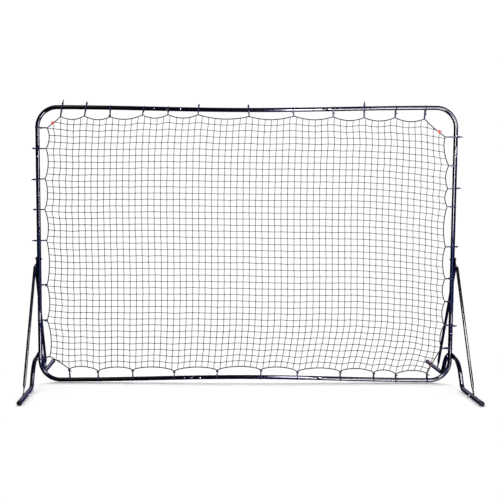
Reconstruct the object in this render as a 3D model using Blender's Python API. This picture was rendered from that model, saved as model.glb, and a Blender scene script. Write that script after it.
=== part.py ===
"""Pitch back rebounder: a square-mesh net lashed inside a tube frame on folding legs.

Metres, +Z up. The origin is on the ground under the middle of the frame, the net's front
faces -Y and the frame's width runs along X. Each leg and each brace hangs from an empty
on its own bolt's axis.
"""

from math import atan2, cos, pi, radians, sin, tan

import bmesh
import bpy
from mathutils import Vector

# --- driving dimensions -------------------------------------------------------------

GAP = 0.0003                      # running gap between touching pieces

FRAME_WIDTH = 2.740               # nine-foot class, outside to outside
FRAME_HEIGHT = 1.817              # six-foot class, outside to outside
GROUND_GAP = 0.0037               # the legs hold the bottom rail just clear of the ground
TUBE_RADIUS = 0.014
CORNER_RADIUS = 0.130             # to the tube's centre line
TOP_BOW = 0.016                   # how far the lashing pulls each rail inwards at mid-span
BOTTOM_BOW = 0.0186

TOP_JOINT_X = 0.515               # where the corner tubes meet the middle of each rail
BOTTOM_LEFT_JOINT_X = 0.350
BOTTOM_RIGHT_JOINT_X = 0.4765
TOP_JOINT_Z = 1.560               # where they meet the middle of each upright
BOTTOM_JOINT_Z = 0.400
SPIGOT_LENGTH = 0.105
SPIGOT_RADIUS = 0.0118
SOCKET_RADIUS = 0.0122
SOCKET_CLEARANCE = 0.003          # past the end of the spigot
TOP_SCREW_INSET = 0.085           # from a joint's seam to the screw on each side of it
BOTTOM_SCREW_INSET = 0.0545
UPRIGHT_SCREW_INSET = 0.067

LEG_BOLT_Z = 0.180
BRACE_BOLT_Z = 0.822
LEG_PLANE = 0.0185                # from the upright's centre plane out to the leg's
LEG_DROP_START = 0.030            # from the bolt to the start of the downward bend
LEG_DROP_RADIUS = 0.160
LEG_DROP_ANGLE = radians(62)
LEG_HEEL_RADIUS = 0.045
LEG_REACH = 0.588                 # from the frame's plane to the end of the foot cap
TAB_HALF_THICKNESS = 0.002
TAB_HALF_WIDTH = 0.0175
TAB_END = 0.016
TAB_FLAT_LENGTH = 0.060           # the flattened stretch past the bolt, then its run back to round
TAB_BLEND = 0.045

CAP_RADIUS = 0.0152
CAP_BORE = TUBE_RADIUS + GAP
CAP_LENGTH = 0.034
CAP_END_WALL = 0.004
FOOT_Z = CAP_RADIUS               # the caps touch the ground

BRACE_RADIUS = 0.0095
BRACE_FOOT_REACH = 0.385          # from the frame's plane to the brace's foot bolt
FLAT_HALF_THICKNESS = 0.0015
FLAT_HALF_WIDTH = 0.0125
FLAT_END = 0.013
FLAT_LENGTH = 0.030
FLAT_BLEND = 0.030

BOLT_RADIUS = 0.004
BOLT_HEX = 0.0065                 # half the hexagon's width across flats
FOOT_BOLT_RADIUS = 0.003
FOOT_BOLT_HEX = 0.005
HEX_CHAMFER = 0.001               # height of the chamfer on a bolt's head or a nut
CHAMFER_SHARE = 0.87              # the chamfered end's radius over half the hexagon's width
SHANK_TIP = 0.001                 # the pointed end of a shank
SHANK_PAST_NUT = 0.0030
HOLE_CLEARANCE = 0.0005
SCREW_RADIUS = 0.002
SCREW_HEAD_RADIUS = 0.0045
SCREW_DOME = 0.0018
SCREW_LENGTH = 0.012

NET_HALF_THICKNESS = 0.001
NET_INSET = 0.0040                # from the border cord's centre line in to the net's edge
CORD_RADIUS = 0.002
TOP_SAG = 0.022                   # how far the border cord bellies in between two ties
SIDE_SAG = 0.018
BOTTOM_SAG = 0.024
CORD_STEPS = 3                    # segments from one tie to the next
TIE_HALF_WIDTH = 0.0024
TIE_THICKNESS = 0.0012
TIE_NARROW_END = 0.0011           # half the opening of a tie's loop inside the border cord
WRAP_STEPS = 5                    # segments of a tie's band round the tube
MARKER_RADIUS = 0.0052
MARKER_LENGTH = 0.036
NOTCH_MARGIN = 0.002              # the net steps back this far past each end of a marker
NOTCH_RAMP = 0.006

# Every cable tie: its place along its side, and how far it holds the border cord from the
# tube's centre line.
TOP_TIES = ((-1.205, 0.058), (-1.050, 0.055), (-0.885, 0.058), (-0.675, 0.042),
            (-0.510, 0.036), (-0.315, 0.033), (0.015, 0.041), (0.305, 0.040),
            (0.560, 0.049), (0.760, 0.058), (0.960, 0.061), (1.150, 0.071))
BOTTOM_TIES = ((-1.165, 0.070), (-0.975, 0.055), (-0.745, 0.058), (-0.470, 0.045),
               (-0.185, 0.046), (0.105, 0.049), (0.340, 0.041), (0.625, 0.050),
               (0.845, 0.048), (1.000, 0.037), (1.200, 0.043))
LEFT_TIES = ((0.152, 0.061), (0.415, 0.047), (0.650, 0.049), (0.940, 0.050),
             (1.145, 0.040), (1.345, 0.045), (1.540, 0.054), (1.665, 0.062))
RIGHT_TIES = ((0.235, 0.057), (0.375, 0.042), (0.530, 0.042), (0.695, 0.044),
              (0.905, 0.048), (1.170, 0.043), (1.285, 0.042), (1.435, 0.039),
              (1.620, 0.068))

# Where each corner's marker sits on the cord's run from the rail's tie to the upright's.
MARKER_SHARES = {("top", "left"): 0.56, ("top", "right"): 0.74,
                 ("bottom", "left"): 0.44, ("bottom", "right"): 0.33}

SIDES = {"left": -1, "right": 1}
FACINGS = {"front": -1, "back": 1}
LEVELS = {"bottom": -1, "top": 1}
TUBE_SIDES = 12
CORD_SIDES = 6

# --- derived places -----------------------------------------------------------------

UPRIGHT_X = FRAME_WIDTH / 2 - TUBE_RADIUS
RAIL_END_X = UPRIGHT_X - CORNER_RADIUS
RAIL_Z = {"bottom": GROUND_GAP + TUBE_RADIUS,
          "top": GROUND_GAP + FRAME_HEIGHT - TUBE_RADIUS}
RAIL_BOW = {"bottom": BOTTOM_BOW, "top": TOP_BOW}
JOINT_X = {("top", "left"): TOP_JOINT_X, ("top", "right"): TOP_JOINT_X,
           ("bottom", "left"): BOTTOM_LEFT_JOINT_X, ("bottom", "right"): BOTTOM_RIGHT_JOINT_X}
JOINT_Z = {"bottom": BOTTOM_JOINT_Z, "top": TOP_JOINT_Z}
RAIL_SCREW_INSET = {"bottom": BOTTOM_SCREW_INSET, "top": TOP_SCREW_INSET}
TIES = {"top": TOP_TIES, "bottom": BOTTOM_TIES, "left": LEFT_TIES, "right": RIGHT_TIES}
SAG = {"top": TOP_SAG, "bottom": BOTTOM_SAG, "left": SIDE_SAG, "right": SIDE_SAG}

# Stacked along X on the outside of each upright, measured from its centre plane.
LEG_TAB_X = {"front": TUBE_RADIUS + GAP + TAB_HALF_THICKNESS,
             "back": TUBE_RADIUS + 2 * GAP + 3 * TAB_HALF_THICKNESS}
BRACE_FLAT_X = {"front": TUBE_RADIUS + GAP + FLAT_HALF_THICKNESS,
                "back": TUBE_RADIUS + 2 * GAP + 3 * FLAT_HALF_THICKNESS}
BRACE_TUBE_OFFSET = BRACE_RADIUS - FLAT_HALF_THICKNESS
BRACE_FOOT_X = LEG_PLANE + TUBE_RADIUS + GAP + FLAT_HALF_THICKNESS
LEG_HEAD_X = TUBE_RADIUS + 3 * GAP + 4 * TAB_HALF_THICKNESS
BRACE_HEAD_X = TUBE_RADIUS + 3 * GAP + 4 * FLAT_HALF_THICKNESS
FOOT_HEAD_X = BRACE_FOOT_X + FLAT_HALF_THICKNESS + GAP


# --- scene and materials ------------------------------------------------------------

def clear_scene():
    for scene_object in list(bpy.data.objects):
        bpy.data.objects.remove(scene_object, do_unlink=True)


def make_material(name, color, roughness, metallic=0.0):
    material = bpy.data.materials.new(name)
    material.use_nodes = True
    shader = material.node_tree.nodes["Principled BSDF"]
    shader.inputs["Base Color"].default_value = (*color, 1.0)
    shader.inputs["Roughness"].default_value = roughness
    shader.inputs["Metallic"].default_value = metallic
    material.diffuse_color = (*color, 1.0)
    return material


def frame_paint(name):
    return make_material(name + "_paint", (0.012, 0.012, 0.016), 0.18)


def zinc(name):
    return make_material(name + "_zinc", (0.62, 0.63, 0.66), 0.28, 1.0)


def cap_plastic(name):
    return make_material(name + "_plastic", (0.010, 0.010, 0.012), 0.45)


def black_fibre(name):
    return make_material(name + "_fibre", (0.020, 0.020, 0.024), 0.75)


def red_tape(name):
    return make_material(name + "_tape", (0.62, 0.05, 0.03), 0.55)


# --- solids from rings --------------------------------------------------------------

def ring(centre, across, along, half_across, half_along, squareness=1.0, sides=TUBE_SIDES):
    """Points round a tube's section, with a flat facing across and along.

    squareness 1 gives a circle; a lower power gives a rounded rectangle.
    """
    facet = cos(pi / sides)
    points = []
    for index in range(sides):
        angle = 2 * pi * (index + 0.5) / sides
        reach = []
        for value, half in ((cos(angle), half_across), (sin(angle), half_along)):
            power = (abs(value) / facet) ** squareness
            reach.append(half * power * (1 if value > 0 else -1))
        points.append(Vector(centre) + across * reach[0] + along * reach[1])
    return points


def hexagon(centre, across, along, half_width):
    """A hexagon with twelve points, so that it bridges to a twelve-sided ring."""
    points = []
    for index in range(TUBE_SIDES):
        angle = 2 * pi * (index + 0.5) / TUBE_SIDES
        turn = (angle + pi / 12) % (pi / 3) - pi / 6
        radius = half_width / cos(turn)
        points.append(Vector(centre) + across * radius * cos(angle) + along * radius * sin(angle))
    return points


def loft(name, rings, material, closed=False):
    """One closed body through the rings; closed joins the last to the first."""
    mesh = bpy.data.meshes.new(name)
    builder = bmesh.new()
    loops = [[builder.verts.new(point) for point in points] for points in rings]
    pairs = list(zip(loops, loops[1:]))
    if closed:
        pairs.append((loops[-1], loops[0]))
    for near, far in pairs:
        count = len(near)
        for index in range(count):
            after = (index + 1) % count
            builder.faces.new((near[index], near[after], far[after], far[index]))
    if not closed:
        builder.faces.new(reversed(loops[0]))
        builder.faces.new(loops[-1])
    bmesh.ops.recalc_face_normals(builder, faces=builder.faces)
    builder.to_mesh(mesh)
    builder.free()
    mesh.shade_smooth()
    mesh.set_sharp_from_angle(angle=radians(35))
    made = bpy.data.objects.new(name, mesh)
    bpy.context.scene.collection.objects.link(made)
    mesh.materials.append(material)
    return made


def square_axes(axis):
    """A unit axis and the two directions square to it that the facets face."""
    axis = Vector(axis).normalized()
    across = Vector((1, 0, 0)) if abs(axis.y) > 0.9 else Vector((0, 1, 0))
    return axis, across, axis.cross(across)


def make_cutter(name, centre, axis, radius, length):
    """A hidden cylinder along axis, centred on centre."""
    axis, across, along = square_axes(axis)
    rings = [ring(Vector(centre) + axis * offset, across, along, radius, radius)
             for offset in (-length / 2, length / 2)]
    cutter = loft(name, rings, None)
    cutter.hide_render = True
    cutter.display_type = "WIRE"
    return cutter


def drill(target, label, centre, axis, radius, length):
    """Cuts a round hole through target; centre is in the target's own frame."""
    cutter = make_cutter(target.name + "_" + label, centre, axis, radius, length)
    cutter.parent = target.parent
    cut = target.modifiers.new(label, "BOOLEAN")
    cut.operation = "DIFFERENCE"
    cut.object = cutter


def turned(name, start, axis, profile, material, closed=False):
    """Turned or hexagonal bodies on an axis: profile is (distance, shape, radius)."""
    axis, across, along = square_axes(axis)
    rings = []
    for distance, shape, radius in profile:
        centre = Vector(start) + axis * distance
        if shape == "hex":
            rings.append(hexagon(centre, across, along, radius))
        else:
            rings.append(ring(centre, across, along, radius, radius))
    return loft(name, rings, material, closed)


class Path:
    """Draws a path in a plane as places with headings, in straight runs and arcs."""

    def __init__(self, start, heading):
        self.place = Vector(start)
        self.heading = heading
        self.length = 0.0
        self.stations = [(0.0, self.place.copy(), heading)]

    def _step(self, place, heading, distance):
        self.place = place
        self.heading = heading
        self.length += distance
        self.stations.append((self.length, place.copy(), heading))

    def line(self, length, steps=1):
        direction = Vector((cos(self.heading), sin(self.heading)))
        for _ in range(steps):
            self._step(self.place + direction * (length / steps), self.heading, length / steps)

    def arc(self, radius, angle, steps):
        chord = 2 * radius * sin(abs(angle) / steps / 2)
        for _ in range(steps):
            middle = self.heading + angle / steps / 2
            direction = Vector((cos(middle), sin(middle)))
            self._step(self.place + direction * chord, self.heading + angle / steps,
                       radius * abs(angle) / steps)


def smooth(value):
    value = min(max(value, 0.0), 1.0)
    return value * value * (3 - 2 * value)


def mix(first, second, share):
    return first + (second - first) * share


def name_of(*words):
    return "_".join(words)


# --- the tube frame -----------------------------------------------------------------

def rail_z(level, x):
    """Height of a rail's centre line, drawn inwards by the lashing between its corners."""
    if abs(x) > RAIL_END_X:
        return RAIL_Z[level]
    pull = RAIL_BOW[level] * cos(pi * x / (2 * RAIL_END_X)) ** 2
    return RAIL_Z[level] - LEVELS[level] * pull


def rail_places(level, start, end, steps):
    """Centre places along a rail with their headings in the frame's plane."""
    reach = 0.001
    places = []
    for index in range(steps + 1):
        x = mix(start, end, index / steps)
        rise = rail_z(level, x + reach) - rail_z(level, x - reach)
        places.append((Vector((x, rail_z(level, x))), atan2(rise, 2 * reach)))
    return places


def frame_ring(place, heading, radius):
    """A ring round a tube of the frame, whose centre line lies in the XZ plane."""
    along = Vector((-sin(heading), 0, cos(heading)))
    return ring((place.x, 0, place.y), Vector((0, 1, 0)), along, radius, radius)


def shift(place, heading, distance):
    return place + Vector((cos(heading), sin(heading))) * distance


def corner_tube(side, level):
    """A bent corner tube with a spigot at each end, for the rail and for the upright."""
    sign = SIDES[side]
    lift = LEVELS[level]
    places = rail_places(level, JOINT_X[level, side], RAIL_END_X, 4)
    steps = 6
    for index in range(1, steps + 1):
        angle = pi / 2 * index / steps
        x = RAIL_END_X + CORNER_RADIUS * sin(angle)
        z = RAIL_Z[level] - lift * CORNER_RADIUS * (1 - cos(angle))
        places.append((Vector((x, z)), -lift * angle))
    places.append((Vector((UPRIGHT_X, JOINT_Z[level])), -lift * pi / 2))
    first, first_heading = places[0]
    last, last_heading = places[-1]
    stations = [(shift(first, first_heading, -SPIGOT_LENGTH), first_heading, SPIGOT_RADIUS),
                (first, first_heading, SPIGOT_RADIUS)]
    stations += [(place, heading, TUBE_RADIUS) for place, heading in places]
    stations += [(last, last_heading, SPIGOT_RADIUS),
                 (shift(last, last_heading, SPIGOT_LENGTH), last_heading, SPIGOT_RADIUS)]
    rings = []
    for place, heading, radius in stations:
        mirrored = Vector((sign * place.x, place.y))
        rings.append(frame_ring(mirrored, heading if sign > 0 else pi - heading, radius))
    name = name_of("corner_tube", level, side)
    tube = loft(name, rings, frame_paint(name))
    return tube


def socketed_tube(name, places):
    """A straight or bowed tube with a socket in each end for a corner tube's spigot."""
    depth = SPIGOT_LENGTH + SOCKET_CLEARANCE
    trimmed = list(places)
    trimmed[0] = (shift(*places[0], GAP), places[0][1])
    trimmed[-1] = (shift(*places[-1], -GAP), places[-1][1])
    first, first_heading = trimmed[0]
    last, last_heading = trimmed[-1]
    stations = [(shift(first, first_heading, depth), first_heading, SOCKET_RADIUS),
                (first, first_heading, SOCKET_RADIUS)]
    stations += [(place, heading, TUBE_RADIUS) for place, heading in trimmed]
    stations += [(last, last_heading, SOCKET_RADIUS),
                 (shift(last, last_heading, -depth), last_heading, SOCKET_RADIUS)]
    rings = [frame_ring(place, heading, radius) for place, heading, radius in stations]
    return loft(name, rings, frame_paint(name))


def joint_screw(name, x, z, tubes):
    """A dome-headed screw in the front of a joint, and its hole in both of its tubes."""
    face = -TUBE_RADIUS - GAP
    profile = [(-SCREW_DOME, "round", SCREW_HEAD_RADIUS * 0.55),
               (-SCREW_DOME * 0.55, "round", SCREW_HEAD_RADIUS * 0.9),
               (0, "round", SCREW_HEAD_RADIUS), (0, "round", SCREW_RADIUS),
               (SCREW_LENGTH, "round", SCREW_RADIUS)]
    turned(name, (x, face, z), (0, 1, 0), profile, zinc(name))
    for tube in tubes:
        drill(tube, name, (x, face, z), (0, 1, 0), SCREW_RADIUS + HOLE_CLEARANCE,
              2 * (SCREW_LENGTH + SCREW_DOME))


def build_frame():
    """The eight frame tubes and their joint screws; returns the tubes by name."""
    tubes = {}
    for level in LEVELS:
        for side in SIDES:
            tubes[level, side] = corner_tube(side, level)
        places = rail_places(level, -JOINT_X[level, "left"], JOINT_X[level, "right"], 6)
        tubes[level] = socketed_tube(name_of("rail_tube", level), places)
    for side, sign in SIDES.items():
        x = sign * UPRIGHT_X
        places = [(Vector((x, BOTTOM_JOINT_Z)), pi / 2), (Vector((x, TOP_JOINT_Z)), pi / 2)]
        tubes[side] = socketed_tube(name_of("upright_tube", side), places)
    for level, lift in LEVELS.items():
        for side, sign in SIDES.items():
            corner = tubes[level, side]
            for place, outward, others in (("inner", -1, True), ("outer", 1, False)):
                x = sign * (JOINT_X[level, side] + outward * RAIL_SCREW_INSET[level])
                joint_screw(name_of("rail_screw", place, level, side), x, rail_z(level, x),
                            (corner, tubes[level]) if others else (corner,))
                z = JOINT_Z[level] + outward * lift * UPRIGHT_SCREW_INSET
                joint_screw(name_of("upright_screw", place, level, side), sign * UPRIGHT_X, z,
                            (corner, tubes[side]) if others else (corner,))
    return tubes


# --- through-bolts on the uprights --------------------------------------------------

def bolt_head(half_hex):
    """A hexagon head's profile, from its chamfered face to its seat at 0."""
    height = 0.86 * half_hex
    return [(-height, "round", half_hex * CHAMFER_SHARE),
            (HEX_CHAMFER - height, "hex", half_hex), (0, "hex", half_hex)]


def nut_height(half_hex):
    return half_hex * 0.95


def through_bolt(label, side, tube, height, head_x, radius, half_hex):
    """A hex bolt from outside an upright through to its nut on the inside."""
    sign = SIDES[side]
    start = (sign * (UPRIGHT_X + head_x), 0, height)
    inward = (-sign, 0, 0)
    shank_end = head_x + TUBE_RADIUS + GAP + nut_height(half_hex) + SHANK_PAST_NUT
    profile = bolt_head(half_hex)
    profile += [(0, "round", radius), (shank_end - SHANK_TIP, "round", radius),
                (shank_end, "round", radius * 0.8)]
    turned(name_of(label, "bolt", side), start, inward, profile, zinc(label + side))
    hex_nut(name_of(label, "nut", side), (sign * (UPRIGHT_X - TUBE_RADIUS - GAP), 0, height),
            inward, radius, half_hex)
    drill(tube, label, (sign * UPRIGHT_X, 0, height), (1, 0, 0), radius + HOLE_CLEARANCE,
          4 * TUBE_RADIUS)


def hex_nut(name, start, axis, radius, half_hex):
    bore = radius + HOLE_CLEARANCE / 2
    height = nut_height(half_hex)
    profile = [(0, "round", bore), (0, "hex", half_hex), (height - HEX_CHAMFER, "hex", half_hex),
               (height, "round", half_hex * CHAMFER_SHARE), (height, "round", bore)]
    return turned(name, start, axis, profile, zinc(name), closed=True)


def build_upright_bolts(tubes):
    for side in SIDES:
        through_bolt("leg", side, tubes["bottom", side], LEG_BOLT_Z, LEG_HEAD_X,
                     BOLT_RADIUS, BOLT_HEX)
        through_bolt("brace", side, tubes[side], BRACE_BOLT_Z, BRACE_HEAD_X,
                     FOOT_BOLT_RADIUS, FOOT_BOLT_HEX)


# --- legs ---------------------------------------------------------------------------

def make_pivot(name, side, height):
    pivot = bpy.data.objects.new(name, None)
    pivot.location = (SIDES[side] * UPRIGHT_X, 0, height)
    bpy.context.scene.collection.objects.link(pivot)
    return pivot


def leg_path():
    """From the tab's end past the bolt, down the bend to the heel and along the ground."""
    path = Path((-TAB_END, 0), 0)
    path.line(TAB_END / 4, 2)
    path.line(TAB_END / 2 + LEG_DROP_START, 2)
    path.arc(LEG_DROP_RADIUS, -LEG_DROP_ANGLE, 6)
    drop = path.place.y + LEG_BOLT_Z - FOOT_Z
    heel = LEG_HEEL_RADIUS * tan(LEG_DROP_ANGLE / 2)
    path.line(drop / sin(LEG_DROP_ANGLE) - heel)
    path.arc(LEG_HEEL_RADIUS, LEG_DROP_ANGLE, 4)
    path.line(LEG_REACH - CAP_END_WALL - GAP - path.place.x, 2)
    return path


def leg_section(facing, length):
    """Centre plane, half thickness, half width and squareness at a length along the leg."""
    blend = smooth((length - TAB_END - TAB_FLAT_LENGTH) / TAB_BLEND)
    rounding = smooth(length / (TAB_END / 4) * 0.5 + 0.3) if length < TAB_END / 2 else 1.0
    half_width = mix(TAB_HALF_WIDTH * rounding, TUBE_RADIUS, blend)
    return (mix(LEG_TAB_X[facing], LEG_PLANE, blend),
            mix(TAB_HALF_THICKNESS, TUBE_RADIUS, blend),
            half_width, mix(0.3, 1.0, blend))


def side_ring(sign, facing_sign, x, place, heading, half_thickness, half_width, squareness):
    """A ring round a leg or brace, whose centre line lies in a plane along YZ."""
    along = Vector((0, -facing_sign * sin(heading), cos(heading)))
    centre = (sign * x, facing_sign * place.x, place.y)
    return ring(centre, Vector((1, 0, 0)), along, half_thickness, half_width, squareness)


def build_leg(side, facing):
    sign = SIDES[side]
    facing_sign = FACINGS[facing]
    pivot = make_pivot(name_of("leg_pivot", facing, side), side, LEG_BOLT_Z)
    rings = []
    for length, place, heading in leg_path().stations:
        x, half_thickness, half_width, squareness = leg_section(facing, length)
        rings.append(side_ring(sign, facing_sign, x, place, heading,
                               half_thickness, half_width, squareness))
    name = name_of("leg_tube", facing, side)
    leg = loft(name, rings, frame_paint(name))
    leg.parent = pivot
    drill(leg, "bolt_hole", (sign * LEG_TAB_X[facing], 0, 0), (1, 0, 0),
          BOLT_RADIUS + HOLE_CLEARANCE, 0.012)
    foot = Vector((sign * LEG_PLANE, facing_sign * BRACE_FOOT_REACH, FOOT_Z - LEG_BOLT_Z))
    drill(leg, "brace_hole", foot, (1, 0, 0), FOOT_BOLT_RADIUS + HOLE_CLEARANCE,
          4 * TUBE_RADIUS)
    foot_nut(side, facing, foot, pivot)
    foot_cap(side, facing, pivot)
    return leg


def foot_nut(side, facing, foot, pivot):
    """The nut inside the foot tube's inner face with the shank that crosses the tube."""
    sign = SIDES[side]
    half = FOOT_BOLT_HEX
    height = nut_height(half)
    profile = [(-height - SHANK_PAST_NUT, "round", FOOT_BOLT_RADIUS * 0.8),
               (-height - SHANK_PAST_NUT + SHANK_TIP, "round", FOOT_BOLT_RADIUS),
               (-height, "round", FOOT_BOLT_RADIUS), (-height, "round", half * CHAMFER_SHARE),
               (HEX_CHAMFER - height, "hex", half), (0, "hex", half),
               (0, "round", FOOT_BOLT_RADIUS), (2 * TUBE_RADIUS + GAP, "round", FOOT_BOLT_RADIUS)]
    start = foot - Vector((sign * (TUBE_RADIUS + GAP), 0, 0))
    name = name_of("foot_nut", facing, side)
    nut = turned(name, start, (sign, 0, 0), profile, zinc(name))
    nut.parent = pivot


def foot_cap(side, facing, pivot):
    """A round plastic cap over the end of the foot tube."""
    facing_sign = FACINGS[facing]
    end = Vector((SIDES[side] * LEG_PLANE, facing_sign * LEG_REACH, FOOT_Z - LEG_BOLT_Z))
    bottom = CAP_END_WALL
    profile = [(bottom, "round", CAP_BORE), (CAP_LENGTH, "round", CAP_BORE),
               (CAP_LENGTH, "round", CAP_RADIUS), (0.0020, "round", CAP_RADIUS),
               (0.0006, "round", CAP_RADIUS - 0.0008), (0, "round", CAP_RADIUS - 0.0025)]
    name = name_of("foot_cap", facing, side)
    cap = turned(name, end, (0, -facing_sign, 0), profile, cap_plastic(name))
    cap.parent = pivot


# --- braces -------------------------------------------------------------------------

def brace_stations(length):
    """Lengths along the brace from its upper bolt, with the share of round tube at each."""
    inner = FLAT_LENGTH
    outer = FLAT_LENGTH + FLAT_BLEND
    near = [(-FLAT_END, 0.0), (-FLAT_END * 0.6, 0.0), (0.0, 0.0), (inner, 0.0),
            (mix(inner, outer, 0.5), 0.5), (outer, 1.0)]
    far = [(length - distance, share) for distance, share in reversed(near)]
    return near + far


def build_brace(side, facing):
    sign = SIDES[side]
    facing_sign = FACINGS[facing]
    pivot = make_pivot(name_of("brace_pivot", facing, side), side, BRACE_BOLT_Z)
    run = Vector((BRACE_FOOT_REACH, FOOT_Z - BRACE_BOLT_Z))
    heading = atan2(run.y, run.x)
    top_x = BRACE_FLAT_X[facing] + BRACE_TUBE_OFFSET
    rings = []
    for length, share in brace_stations(run.length):
        place = run * (length / run.length)
        tube_x = mix(top_x, BRACE_FOOT_X, min(max(length / run.length, 0.0), 1.0))
        flat_x = BRACE_FLAT_X[facing] if length < run.length / 2 else BRACE_FOOT_X
        past_end = min(length, run.length - length) < -FLAT_END * 0.9
        flat_width = FLAT_HALF_WIDTH * (0.55 if past_end else 1.0)
        rings.append(side_ring(sign, facing_sign, mix(flat_x, tube_x, share), place, heading,
                               mix(FLAT_HALF_THICKNESS, BRACE_RADIUS, share),
                               mix(flat_width, BRACE_RADIUS, share), mix(0.3, 1.0, share)))
    name = name_of("brace_tube", facing, side)
    brace = loft(name, rings, frame_paint(name))
    brace.parent = pivot
    radius = FOOT_BOLT_RADIUS + HOLE_CLEARANCE
    drill(brace, "upper_hole", (sign * BRACE_FLAT_X[facing], 0, 0), (1, 0, 0), radius, 0.01)
    foot = Vector((sign * BRACE_FOOT_X, facing_sign * run.x, run.y))
    drill(brace, "foot_hole", foot, (1, 0, 0), radius, 0.01)
    foot_bolt(side, facing, run, pivot)
    return brace


def foot_bolt(side, facing, run, pivot):
    """The bolt's head and the stub of its shank that stays in the brace's flat."""
    sign = SIDES[side]
    stub = 2 * FLAT_HALF_THICKNESS + GAP
    profile = bolt_head(FOOT_BOLT_HEX)
    profile += [(0, "round", FOOT_BOLT_RADIUS), (stub, "round", FOOT_BOLT_RADIUS)]
    name = name_of("foot_bolt", facing, side)
    start = (sign * FOOT_HEAD_X, FACINGS[facing] * run.x, run.y)
    bolt = turned(name, start, (-sign, 0, 0), profile, zinc(name))
    bolt.parent = pivot


# --- the net and its lashing --------------------------------------------------------

def tube_centre(side, place):
    """The frame tube's centre beside a tie, as (x, z), and the way in from it."""
    if side in LEVELS:
        return Vector((place, rail_z(side, place))), Vector((0, -LEVELS[side]))
    return Vector((SIDES[side] * UPRIGHT_X, place)), Vector((-SIDES[side], 0))


def border_places(side):
    """The border cord's line along one side, as (x, z) places from tie to tie."""
    ties = TIES[side]
    places = []
    for (start, start_reach), (end, end_reach) in zip(ties, ties[1:]):
        for step in range(CORD_STEPS):
            share = step / CORD_STEPS
            reach = mix(start_reach, end_reach, share) + SAG[side] * sin(pi * share)
            centre, inward = tube_centre(side, mix(start, end, share))
            places.append(centre + inward * reach)
    centre, inward = tube_centre(side, ties[-1][0])
    places.append(centre + inward * ties[-1][1])
    return places


def corner_run(level, side):
    """The border's straight run across a corner, from the rail's end tie to the upright's."""
    rail_run = border_places(level)
    upright_run = border_places(side)
    return (rail_run[0] if side == "left" else rail_run[-1],
            upright_run[0] if level == "bottom" else upright_run[-1])


def marker_run(level, side):
    """The middle of a corner's marker and the way that it points."""
    rail_end, upright_end = corner_run(level, side)
    middle = rail_end.lerp(upright_end, MARKER_SHARES[level, side])
    return middle, (upright_end - rail_end).normalized()


def marker_notch(level, side):
    """Places on a corner run with how far the net stays back, to clear the marker."""
    middle, run = marker_run(level, side)
    half = MARKER_LENGTH / 2 + NOTCH_MARGIN
    back = MARKER_RADIUS + 3 * GAP
    return [(middle - run * (half + NOTCH_RAMP), NET_INSET), (middle - run * half, back),
            (middle + run * half, back), (middle + run * (half + NOTCH_RAMP), NET_INSET)]


def border_loop(notched=False):
    """The whole border anticlockwise, as (place, net's inset) pairs."""
    def plain(places):
        return [(place, NET_INSET) for place in places]

    loop = plain(border_places("bottom"))
    loop += marker_notch("bottom", "right") if notched else []
    loop += plain(border_places("right"))
    loop += marker_notch("top", "right")[::-1] if notched else []
    loop += plain(border_places("top")[::-1])
    loop += marker_notch("top", "left") if notched else []
    loop += plain(border_places("left")[::-1])
    loop += marker_notch("bottom", "left")[::-1] if notched else []
    return loop


def inset_place(before, place, after, inset):
    """A loop's place moved inwards, square to the loop's two runs that meet there."""
    arriving = (place - before).normalized()
    leaving = (after - place).normalized()
    normal = (Vector((-arriving.y, arriving.x)) + Vector((-leaving.y, leaving.x))).normalized()
    return place + normal * (inset / max(normal.dot(Vector((-leaving.y, leaving.x))), 0.5))


def build_net():
    """The net as one thin panel, just inside its border cord."""
    loop = border_loop(notched=True)
    outline = []
    for index, (place, inset) in enumerate(loop):
        before = loop[index - 1][0]
        after = loop[(index + 1) % len(loop)][0]
        outline.append(inset_place(before, place, after, inset))
    faces = [[Vector((place.x, depth, place.y)) for place in outline]
             for depth in (-NET_HALF_THICKNESS, NET_HALF_THICKNESS)]
    loft("net_panel", faces, black_fibre("net_panel"))


def tie_band(name, side, place, reach):
    """A cable tie: a flat band round the tube that narrows to hold the border cord."""
    centre, inward = tube_centre(side, place)
    narrow = TIE_NARROW_END
    wide = (TUBE_RADIUS / cos(pi / TUBE_SIDES) + 2 * GAP) / cos(0.6 * pi / WRAP_STEPS)
    lean = atan2(wide - narrow, reach)
    outline = []
    for index in range(WRAP_STEPS + 1):
        angle = mix(pi / 2 - lean, 1.5 * pi + lean, index / WRAP_STEPS)
        outline.append((wide * cos(angle), wide * sin(angle)))
    for angle in (-pi / 2 + lean, 0, pi / 2 - lean):
        outline.append((reach + narrow * cos(angle), narrow * sin(angle)))
    inward = Vector((inward.x, 0, inward.y))
    origin = Vector((centre.x, 0, centre.y))
    depth = Vector((0, 1, 0))
    width = inward.cross(depth) * TIE_HALF_WIDTH
    rings = []
    for index, flat in enumerate(outline):
        inner = Vector(flat)
        before = Vector(outline[index - 1])
        after = Vector(outline[(index + 1) % len(outline)])
        outer = inset_place(before, inner, after, -TIE_THICKNESS)
        points = []
        for corner, edge in ((inner, -1), (inner, 1), (outer, 1), (outer, -1)):
            points.append(origin + inward * corner.x + depth * corner.y + width * edge)
        rings.append(points)
    band = loft(name, rings, None, closed=True)
    band.hide_render = True
    band.display_type = "WIRE"
    return band


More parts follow.
